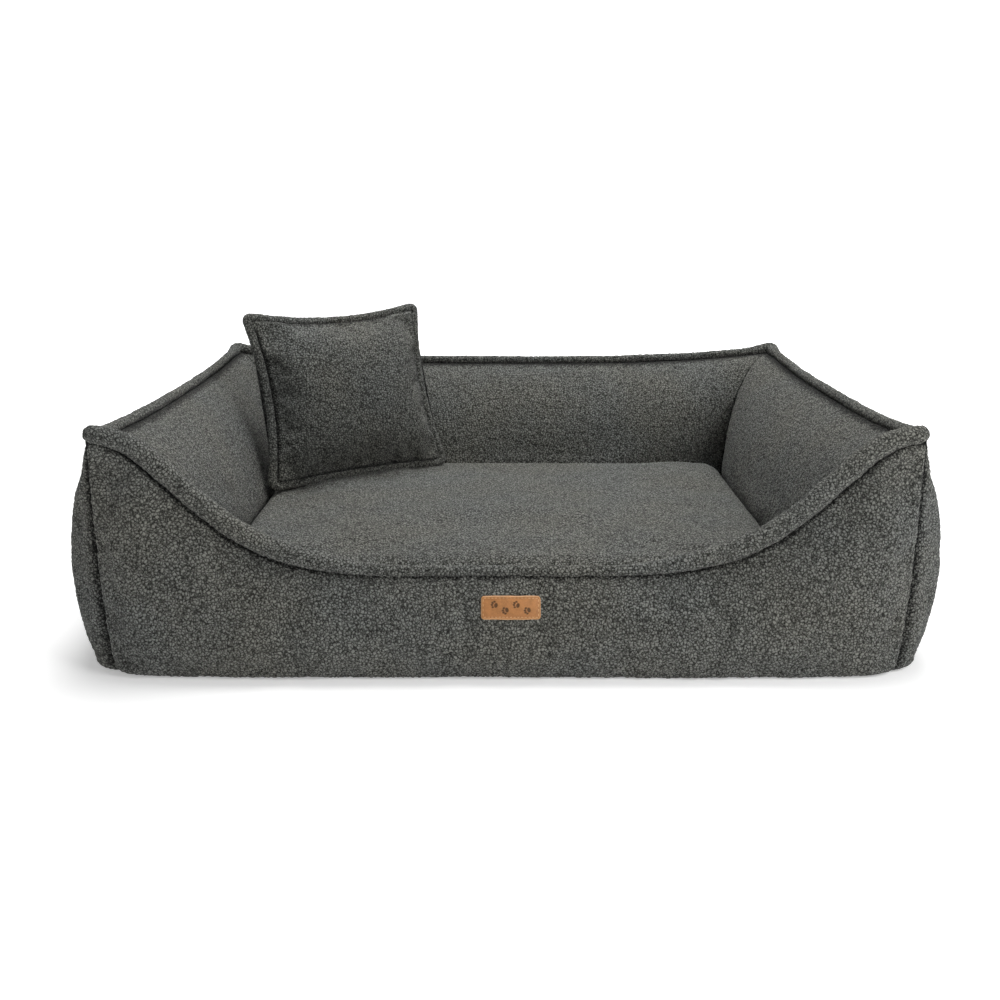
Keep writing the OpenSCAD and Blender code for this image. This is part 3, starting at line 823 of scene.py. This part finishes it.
def make_top_cover():
    rows, columns = (int(2 * side / COVER_CELL) for side in COVER_HALF)
    grid = stuffed(cover_top, rows, columns, 3 * MM, pressure=2.0)
    wave = 1.3 * MM * noise(grid, 80 * MM, 31) + 0.7 * MM * noise(grid, 35 * MM, 32)
    wave *= smooth((COVER_HIGH[2] + 2 * MM - grid[..., 2]) / (-6 * MM) + 1)
    grid[..., 2] += wave
    shell = Shell()
    top = shell.add(grid)
    shell.cover(top, UV_TOP)
    edge = border_of(top)
    rim = grid.reshape(-1, 3)[edge]
    steps = int((rim[:, 2].min() - COVER_LOW[2]) / COVER_CELL)
    share = np.linspace(0, 1, steps + 1)[1:, None]
    inward_step = (COVER_MIDDLE - rim[:, :2]) / np.abs(COVER_HALF).mean()
    tuck = (2.5 * MM * share ** 4)[..., None] - (1.2 * MM * np.sin(np.pi * share))[..., None]
    side = np.dstack([rim[None, :, :2] + tuck * inward_step[None],
                      rim[None, :, 2] + (COVER_LOW[2] - rim[None, :, 2]) * share])
    lower = shell.add(side)
    skin = looped(np.concatenate([edge[None], lower]))
    shell.cover(skin, UV_SIDE)
    shell.close([lower[-1].tolist()[::-1]])
    made = shell.build("mattress_top_cover", pile=1.4 * MM)
    finish_piece(made, "boucle", "mattress", "mattress_top_cover", "mattress_foam")


BASE_INSET = COVER_LOW[0] - MATTRESS_LOW[0]
LIP_Z = middle("mattress_zip_tape")[2]  # height of the mattress zip
LIP_HALF = size("mattress_zip_tape")[0] / 2
CHANNEL = 6 * MM  # half the height of the zip's channel
CHANNEL_IN = 5.5 * MM  # depth of it
BASE_ROUND = 6 * MM  # radius of the mattress's bottom edge


def make_base_cover():
    """The lining tray round the mattress's lower half, with a sunk channel for its zip."""
    half = COVER_HALF + BASE_INSET
    rows, columns = 80, 58
    a, b = spaced(rows)[:, None], spaced(columns)[None, :]
    flat = rounded_plan(a, b, half, COVER_ROUND + BASE_INSET) + COVER_MIDDLE
    rise = rounded_off(to_border(a, b, half), BASE_ROUND)
    shell = Shell()
    bottom = shell.add(np.dstack([flat, MATTRESS_LOW[2] + rise]))
    shell.cover(bottom, UV_TOP, flip=True)
    edge = border_of(bottom)
    rim = np.concatenate(shell.points)[edge]
    lips = [sign * CHANNEL + step for sign in (-1, 1) for step in (-0.2 * MM, 0.2 * MM)]
    z = np.concatenate([np.linspace(MATTRESS_LOW[2] + 8 * MM, LIP_Z - CHANNEL - 1 * MM, 6),
                        LIP_Z + np.array(lips),
                        np.linspace(LIP_Z + CHANNEL + 1 * MM, COVER_LOW[2] + 2 * MM, 6)])
    side = np.repeat(rim[None], len(z), axis=0)
    side[..., 2] = z[:, None]
    at_back = (rim[:, 1] > rim[:, 1].max() - 1 * MM) & (np.abs(rim[:, 0]) < LIP_HALF)
    sunk = (np.abs(z - LIP_Z) < CHANNEL)[:, None] & at_back[None]
    side[..., 1] -= CHANNEL_IN * sunk
    wave = 0.7 * MM * noise(side, 45 * MM, 33) * ~at_back[None]
    side[..., :2] += wave[..., None] * np.sign(side[..., :2] - COVER_MIDDLE)
    upper = shell.add(side)
    shell.cover(looped(np.concatenate([edge[None], upper])), UV_SIDE, flip=True)
    shell.close([upper[-1].tolist()])
    made = finish_piece(shell.build("mattress_base_cover"), "lining", "mattress",
                        "mattress_base_cover")


make_top_cover()
make_base_cover()


# --- Cushion: drawn flat, with its back towards +Y and its bottom seam along X ---

CUSHION_W = 262 * MM  # between the piping's middle lines
CUSHION_H = 231 * MM
CUSHION_T = 94 * MM
CUSHION_YAW = math.radians(34)
CUSHION_LEAN = math.radians(18)
PINCH = 14 * MM  # how far the seams are drawn in between the corners
PINCH_BOTTOM = 4 * MM
SPLAY = 0.016  # wider at the bottom, under its own weight
CUSHION_PIPING_R = 5.8 * MM
CUSHION_ROUND = 10 * MM  # how far its corners are evened out
CUSHION_CELL = 0.9 * CELL
COVER_SHARE = 0.975  # the covers' edges lie inside the middle of the piping


def lean_back(points):
    """Turns drawn points into the frame."""
    x, y, z = np.moveaxis(points, -1, 0)
    y, z = (y * math.cos(CUSHION_LEAN) + z * math.sin(CUSHION_LEAN),
            z * math.cos(CUSHION_LEAN) - y * math.sin(CUSHION_LEAN))
    x, y = (x * math.cos(CUSHION_YAW) - y * math.sin(CUSHION_YAW),
            x * math.sin(CUSHION_YAW) + y * math.cos(CUSHION_YAW))
    return np.stack([x, y, z], axis=-1)


CUSHION_AT = middle("cushion_piping") - lean_back(
    np.array([0, 2 * MM, CUSHION_H / 2 - PINCH_BOTTOM])) - [2 * MM, 0, 0]


def drawn_in(a, b):
    """A point of the cushion's flat outline, for a and b from -1 to 1 across and up."""
    pinch_y = np.where(b < 0, PINCH_BOTTOM, PINCH)
    return (a * (CUSHION_W / 2 * (1 - SPLAY * b) - PINCH * (1 - b * b)),
            b * (CUSHION_H / 2 - pinch_y * (1 - a * a)) + CUSHION_H / 2 - PINCH_BOTTOM)


def cushion_half(sign, fullness):
    """The front (sign -1) or back (sign 1) of the cushion, before it is filled out."""
    def shape(rows, columns):
        a, b = spaced(rows, 0.3)[:, None], spaced(columns, 0.3)[None, :]
        x, z = drawn_in(a * COVER_SHARE + 0 * b, b * COVER_SHARE + 0 * a)
        crown = ((1 - a ** 2) * (1 - b ** 2)) ** 0.45
        crown = crown * (1 - 0.10 * np.exp(-((np.abs(a) - 0.8) ** 2 + (b - 0.75) ** 2) / 0.03))
        return np.stack([x, sign * fullness * CUSHION_T / 2 * crown + 0 * x, z], axis=-1)
    return shape


def make_cushion_cover(name, sign):
    rows, columns = int(CUSHION_W / CUSHION_CELL), int(CUSHION_H / CUSHION_CELL)
    fullness = 0.93  # the cloth swells up to the rest
    grid = stuffed(cushion_half(sign, fullness), rows, columns, 9 * MM, pressure=5.0, spare=0.03,
                   flip=sign > 0, keep=0.6)
    a, b = spaced(rows, 0.3)[:, None], spaced(columns, 0.3)[None, :]
    from_end, from_top = (1 - np.abs(a)) * CUSHION_W / 2, (1 - np.abs(b)) * CUSHION_H / 2
    beside = np.minimum(from_end, from_top)
    across = np.where(from_end < from_top, grid[..., 2], grid[..., 0])
    line = np.stack([across, 0 * across, beside * 0.3], axis=-1)
    pucker = 2.6 * MM * noise(line, 13 * MM, 40 + sign)
    pucker *= np.exp(-beside / (14 * MM)) * smooth(beside / (5 * MM))
    wave = 1.6 * MM * noise(grid, 60 * MM, 42) * smooth(beside / (30 * MM))
    grid[..., 1] += sign * (pucker + wave)
    made = pad(name, CUSHION_AT + lean_back(grid), flip=sign > 0, seam=beside)
    nodes = [name, "cushion_fill"] if sign < 0 else [name]
    finish_piece(made, "boucle", "cushion", *nodes)


def make_cushion_piping():
    count = int(4 * CUSHION_W / CELL)
    t = np.linspace(0, 4, count, endpoint=False)
    side, s = t.astype(int), 2 * (t % 1) - 1
    a = np.choose(side, [s, 1 + 0 * s, -s, -1 + 0 * s])
    b = np.choose(side, [-1 + 0 * s, s, 1 + 0 * s, -s])
    x, z = drawn_in(a, b)
    path = np.stack([x, 0 * x, z], axis=-1)
    for _ in range(int((CUSHION_ROUND / CELL) ** 2)):
        path = (np.roll(path, 1, axis=0) + 2 * path + np.roll(path, -1, axis=0)) / 4
    outward = unit(path - [0, 0, CUSHION_H / 2])
    path[:, 1] += 1.5 * MM * noise(path, 38 * MM, 44)
    radius = CUSHION_PIPING_R * (1 + 0.08 * noise(path, 22 * MM, 45))
    up = lean_back(outward)
    sides = int(2 * math.pi * CUSHION_PIPING_R / CELL) + 2
    made = piping("cushion_piping", CUSHION_AT + lean_back(path), up, radius, sides, 1.3 * MM,
                  loop=True)
    finish_piece(made, "boucle", "cushion", "cushion_piping")


make_cushion_cover("cushion_front_cover", -1)
make_cushion_cover("cushion_back_cover", 1)
make_cushion_piping()


# --- Label ---

LABEL_LOW = 1.2 * MM  # how far its middle lies below the frame's label
LABEL_SHARE = 0.9  # of that label's height
LABEL_W, _, LABEL_H = size("label_patch") * (1, 1, LABEL_SHARE)
LABEL_X, _, LABEL_Z = middle("label_patch") - (0, 0, LABEL_LOW)
LABEL_OFF = 1.0 * MM  # from the fabric to the back of the leather
LABEL_T = 1.3 * MM
LABEL_CELL = 0.4 * MM
STITCH_IN = 2.2 * MM  # from the label's edge to its seam
PRESS = 0.45 * MM  # depth of the pressed marks


def eased(grid):
    """A grid with its small bumps evened out."""
    grid = grid.copy()
    for _ in range(12):
        grid[1:-1] = (grid[:-2] + 2 * grid[1:-1] + grid[2:]) / 4
        grid[:, 1:-1] = (grid[:, :-2] + 2 * grid[:, 1:-1] + grid[:, 2:]) / 4
    return grid


def on_label(x, y, height):
    """Points over the front panel, from places on the label and heights above its back."""
    grid, u, z = outsides[FRONT]
    grid = eased(grid)
    rows, columns = z.shape
    row = np.interp((LABEL_X + x) / TIP_X, u[:, 0], np.arange(rows))
    column = np.interp(LABEL_Z + y, z[rows // 2], np.arange(columns))
    i, j = row.astype(int), column.astype(int)
    r, c = (row - i)[..., None], (column - j)[..., None]
    face = ((grid[i, j] * (1 - r) + grid[i + 1, j] * r) * (1 - c)
            + (grid[i, j + 1] * (1 - r) + grid[i + 1, j + 1] * r) * c)
    rise = outer(FRONT, np.array(0.0), LABEL_Z + LABEL_H / 2) - outer(
        FRONT, np.array(0.0), LABEL_Z - LABEL_H / 2)
    normal = np.cross([1, 0, 0], rise)
    return face + unit(normal) * (LABEL_OFF + height)[..., None]


def paw_marks(x, y):
    """How deeply a walking trail of generic paw prints is pressed in, from 0 to 1."""
    deep = np.zeros_like(x)
    pads = [(0, -1.6, 2.3, 1.8), (-2.6, 0.9, 0.95, 1.3), (-0.95, 2.4, 0.95, 1.35),
            (0.95, 2.4, 0.95, 1.35), (2.6, 0.9, 0.95, 1.3)]
    for k, turn in enumerate((-70, -110, -70, -110)):
        centre_x, centre_y = (k - 1.5) * 11 * MM, 2.6 * MM * (-1) ** k
        c, s = math.cos(math.radians(turn)), math.sin(math.radians(turn))
        px = ((x - centre_x) * c - (y - centre_y) * s) / MM
        py = ((x - centre_x) * s + (y - centre_y) * c) / MM
        for at_x, at_y, wide, tall in pads:
            r = np.hypot((px - at_x) / wide, (py - at_y) / tall)
            deep = np.maximum(deep, smooth((1.12 - r) / 0.3))
    return deep


def make_label():
    rows, columns = int(LABEL_W / LABEL_CELL), int(LABEL_H / LABEL_CELL)
    a, b = np.linspace(-1, 1, rows)[:, None], np.linspace(-1, 1, columns)[None, :]
    half = np.array([LABEL_W, LABEL_H]) / 2
    x, y = np.moveaxis(rounded_plan(a, b, half, 3 * MM), -1, 0)
    rim = to_border(a, b, half)
    deep = paw_marks(x, y)
    edge = smooth(rim / (1.2 * MM))
    seam = np.exp(-((rim - STITCH_IN) / (0.7 * MM)) ** 2)
    height = LABEL_T * (0.35 + 0.65 * edge) - PRESS * deep - 0.25 * MM * seam
    shape = np.dstack([x, y, 0 * x])
    height = height + 0.15 * MM * noise(shape, 3 * MM, 51) + 0.5 * MM * noise(shape, 16 * MM, 52)
    y = y + 0.5 * MM * noise(shape, 14 * MM, 53) * (1 - rim / rim.max())
    shell = Shell()
    top = shell.add(on_label(x, y, height))
    shell.cover(top, (0, 0, 0.99, 0.9))
    edge_ids = border_of(top)
    lower = shell.add(on_label(x, y, 0 * height - 0.8 * MM).reshape(-1, 3)[edge_ids][None])
    shell.cover(looped(np.concatenate([edge_ids[None], lower])), (0, 0.92, 0.99, 0.99))
    shell.close([lower[0].tolist()[::-1]])
    made = shell.build("label_patch")
    rubbed = 0.85 * (1 - smooth(rim / (1.6 * MM)))
    for title, values, below in (("pressed", deep, 0.0), ("rubbed", rubbed, 1.0)):
        store(made.data, title, np.append(values.ravel(), np.full(edge_ids.size, below)))
    finish_piece(made, "label_leather", "surround", "label_patch")


def make_stitches():
    """A running stitch round the label: each stitch is a short plied thread."""
    shell = Shell()
    pitch, length = 3.5 * MM, 2.5 * MM
    half = np.array([LABEL_W, LABEL_H]) / 2 - STITCH_IN
    for axis in (0, 1):
        count = int(2 * half[axis] / pitch)
        for k, side in itertools.product(range(count), (-1, 1)):
            s = (k - (count - 1) / 2) * 2 * half[axis] / count
            t = np.linspace(-1, 1, 9)
            run = s + t * length / 2
            fixed = np.full(9, side * half[1 - axis])
            x, y = (run, fixed) if axis == 0 else (fixed, run)
            arch = LABEL_T - 0.1 * MM + 0.30 * MM * np.sqrt(1 - 0.9 * t ** 4)
            thick = 0.33 * MM * (1 - 0.75 * t ** 6)
            angle = circle(8)
            twist = 1 + 0.12 * np.cos(2 * angle[None] + 9 * t[:, None])
            off_side = thick[:, None] * np.cos(angle) * twist
            off_up = thick[:, None] * np.sin(angle) * twist
            x, y = ((x[:, None] + 0 * off_side, y[:, None] + off_side) if axis == 0
                    else (x[:, None] + off_side, y[:, None] + 0 * off_side))
            shell.tube(on_label(x, y, arch[:, None] + off_up), flip=axis == 0)
    finish_piece(shell.build("label_stitches"), "label_thread", "surround", "label_stitches")


make_label()
make_stitches()


# --- Zips: drawn along X, with the outside towards +Y ---

COIL_W = 2.2 * MM
SLOT = 1.2 * MM  # between the two rows of coil
TOOTH = 1.5 * MM  # pitch of the coil's turns
COIL_T = 2 * MM
TAPE_T = 1 * MM
PLATE_T = 1.2 * MM  # thickness of a slider's plates
PLATE_GAP = 0.4 * MM  # from a plate to the tape or the coil


def make_coil(name, body):
    """Two rows of nylon coil: each turn is a bead whose head leans over the slot."""
    low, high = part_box(name)
    half, z, back = (high.x - low.x) / 2, (high.z + low.z) / 2, low.y
    shell = Shell()
    count = int(2 * half / TOOTH)
    angle = circle(6)
    reach = np.array([-0.5, -0.42, -0.15, 0.2, 0.42, 0.5])
    thick = np.array([0.30, 0.75, 0.62, 0.70, 0.95, 0.35])
    for k, side in itertools.product(range(count), (-1, 1)):
        x = (k - (count - 1) / 2) * TOOTH + side * TOOTH / 4
        middle_z = z + side * (SLOT / 2 + COIL_W / 2)
        ring_z = middle_z - side * reach[:, None] * COIL_W + 0 * angle
        ring_x = x + 0.42 * TOOTH * thick[:, None] * np.cos(angle)
        ring_y = back + COIL_T / 2 * (1 + 0.95 * thick[:, None] * np.sin(angle))
        shell.tube(np.stack([ring_x, ring_y, ring_z], axis=-1), flip=side > 0)
    finish_piece(shell.build(name), "zip_coil", body, name)


def plate(shell, outline, y_low, y_high, bevel=0.25 * MM):
    """A flat plate with rounded edges: outline is a loop of X and Z places."""
    centre = outline.mean(axis=0)
    away = outline - centre
    shrink = 1 - bevel / np.linalg.norm(away, axis=1)[:, None]
    layers = [(shrink, y_low), (1, y_low + bevel), (1, y_high - bevel), (shrink, y_high)]
    shell.tube(np.stack([np.insert(centre + away * share, 1, y, axis=1) for share, y in layers]))


def slider_outline(x, z, length, width):
    """The heart-like outline of a slider's plates: wide shoulders and a narrower tail."""
    angle = circle(48)
    c, s = np.cos(angle), np.sin(angle)
    along = np.sign(c) * np.abs(c) ** 0.55
    across = np.sign(s) * np.abs(s) ** 0.55 * (0.86 + 0.14 * along)
    return np.stack([x + along * length / 2, z + across * width / 2], axis=-1)


def make_slider(name, body):
    low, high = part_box(name)
    x, _, z = middle(name)
    length, _, width = size(name)
    top = low[1] + PLATE_T + TAPE_T + COIL_T + 2 * PLATE_GAP  # underside of the front plate
    shell = Shell()
    outline = slider_outline(x, z, length, width)
    plate(shell, outline, low[1], low[1] + PLATE_T)
    plate(shell, outline, top, top + PLATE_T)
    web = np.array([[-1, -1], [1, -1], [1, 1], [-1, 1]]) * [length / 2 - 1 * MM, 0.3 * MM]
    plate(shell, web + [x, z], low[1] + 0.5 * MM, top + 0.5 * MM, 0.1 * MM)
    t = np.linspace(0, np.pi, 17)
    foot = top + 1.0 * MM
    arch_y = foot + (high[1] - 0.6 * MM - foot) * np.sin(t) ** 0.5
    arch = np.stack([x - 2.4 * MM * np.cos(t), arch_y, z + 0 * t], axis=-1)
    ring = circle(10)
    side = np.cross(unit(np.gradient(arch, axis=0)), [0, 0, 1])
    offset = (side[:, None] * np.cos(ring)[None, :, None] * 0.6 * MM
              + np.array([0, 0, 1]) * np.sin(ring)[None, :, None] * 0.95 * MM)
    shell.tube(arch[:, None] + offset)
    finish_piece(shell.build(name), "zip_metal", body, name)


def make_pull():
    """The zip's pull: an eye that turns on the slider's bridge, and a tab with a cord hole."""
    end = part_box("wall_zip_pull")[0].x
    hinge_x, y, z = next(j for j in frame["joints"] if j["name"] == "wall_pull_turn")["pos_m"]
    shell = Shell()

    def frame_ring(centre_x, outer_half, inner_half, power):
        """A flat ring between two rounded outlines, 1.2 mm thick."""
        angle = circle(40)
        shape = np.stack([np.cos(angle), np.sin(angle)], axis=-1)
        shape = np.sign(shape) * np.abs(shape) ** power
        rounding = 0.2 * MM
        rings = []
        for half, grow, level in ((outer_half, 0, -0.4), (outer_half, 0, 0.4),
                                  (outer_half, -rounding, 0.6), (inner_half, rounding, 0.6),
                                  (inner_half, 0, 0.4), (inner_half, 0, -0.4),
                                  (inner_half, rounding, -0.6), (outer_half, -rounding, -0.6)):
            flat = shape * (np.array(half) + grow) + [centre_x, z]
            rings.append(np.insert(flat, 1, y + level * MM, axis=1))
        ids = shell.add(np.stack(rings))
        shell.cover(looped(np.concatenate([ids, ids[:1]])), flip=True)

    eye_x = hinge_x - 2.4 * MM
    frame_ring(eye_x, (3.0 * MM, 3.0 * MM), (1.8 * MM, 1.8 * MM), 0.7)
    length = eye_x - 2.0 * MM - end
    frame_ring(end + length / 2, (length / 2, 3.0 * MM), (length / 2 - 3.4 * MM, 1.2 * MM), 0.5)
    finish_piece(shell.build("wall_zip_pull"), "zip_metal", "wall_pull", "wall_zip_pull")


make_coil("wall_zip_coil", "surround")
make_coil("mattress_zip_coil", "mattress")
make_slider("wall_zip_slider", "wall_slider")
make_slider("mattress_zip_slider", "mattress_slider")
make_pull()
for tape in ("wall_zip_tape", "mattress_zip_tape"):
    node = frame["nodes"][tape]
    node.data.materials.clear()
    node.data.materials.append(LOOKS["zip_tape"])


# --- Stage, lights and camera ---

STAGE_R = 2.6  # the floor's radius
TENT_R, TENT_H = 12, 9
TENT_BEND = 3  # radius of its curve up from the floor


def make_stage():
    """A pale round floor that glows faintly, in a white tent that only the camera sees."""
    look, tree, shader = material("floor_paint", 0.9, 0.1)
    at = object_place(tree)
    tone = texture(tree, at, 3, 2.0)
    tree.links.new(ramp(tree, tone, (0.0, (0.92, 0.92, 0.92)), (1.0, (0.95, 0.95, 0.95))),
                   shader.inputs["Base Color"])
    far = add_node(tree, "VectorMath", {0: at}, operation="LENGTH")["Value"]
    inputs = {"Value": far, "From Min": 0.7, "From Max": 2.2, "To Min": 0.35, "To Max": 1.1}
    glow = add_node(tree, "MapRange", inputs, interpolation_type="SMOOTHSTEP")["Result"]
    tree.links.new(glow, shader.inputs["Emission Strength"])
    shader.inputs["Emission Color"].default_value = (1, 1, 1, 1)

    def bowl(name, radii, heights):
        turn = circle(64)
        ring = np.stack([np.cos(turn), np.sin(turn), 0 * turn], axis=-1)
        grid = ring * np.array(radii)[:, None, None]
        grid[..., 2] += np.array(heights)[:, None]
        shell = Shell()
        shell.cover(looped(shell.add(grid)))
        made = shell.build(name)
        made.data.materials.append(look)

    bowl("floor", np.linspace(0.001, STAGE_R, 6), np.zeros(6))
    bend = np.linspace(0, np.pi / 2, 12)
    bowl("tent", [STAGE_R, *(TENT_R - TENT_BEND + TENT_BEND * np.sin(bend)), TENT_R],
         [0, *(TENT_BEND - TENT_BEND * np.cos(bend)), TENT_H])
    tent = SCENE.objects["tent"]
    for kind in ("diffuse", "glossy", "transmission", "shadow"):
        setattr(tent, "visible_" + kind, False)


def make_world(strength):
    world = bpy.data.worlds.new("studio")
    SCENE.world = world
    world.use_nodes = True
    background = world.node_tree.nodes["Background"]
    background.inputs["Color"].default_value = (1, 1, 1, 1)
    background.inputs["Strength"].default_value = strength


def area_light(name, at, target, width, power):
    data = bpy.data.lights.new(name, "AREA")
    data.shape = "DISK"
    data.size = width
    data.energy = power
    lamp = bpy.data.objects.new(name, data)
    lamp.location = at
    lamp.visible_camera = False
    lamp.rotation_euler = (Vector(target) - Vector(at)).to_track_quat("-Z", "Y").to_euler()
    SCENE.collection.objects.link(lamp)


def make_camera():
    """The view of the photo, as fitted to it."""
    data = bpy.data.cameras.new("camera")
    data.sensor_width = 36
    data.lens = 39.62
    data.clip_start = 0.05
    data.clip_end = 60
    camera = bpy.data.objects.new("camera", data)
    camera.location = (-0.006, -1.396, 0.487)
    camera.rotation_euler = (math.radians(74.43), 0, 0)
    SCENE.collection.objects.link(camera)
    SCENE.camera = camera


make_stage()
make_world(0.2)
area_light("top_light", (0.1, 0.62, 2.5), (0, 0, 0.1), 2.2, 76)
area_light("front_light", (1.15, -1.1, 1.05), (0.15, -0.3, 0.1), 0.8, 13)
make_camera()
SCENE.view_settings.view_transform = "Standard"
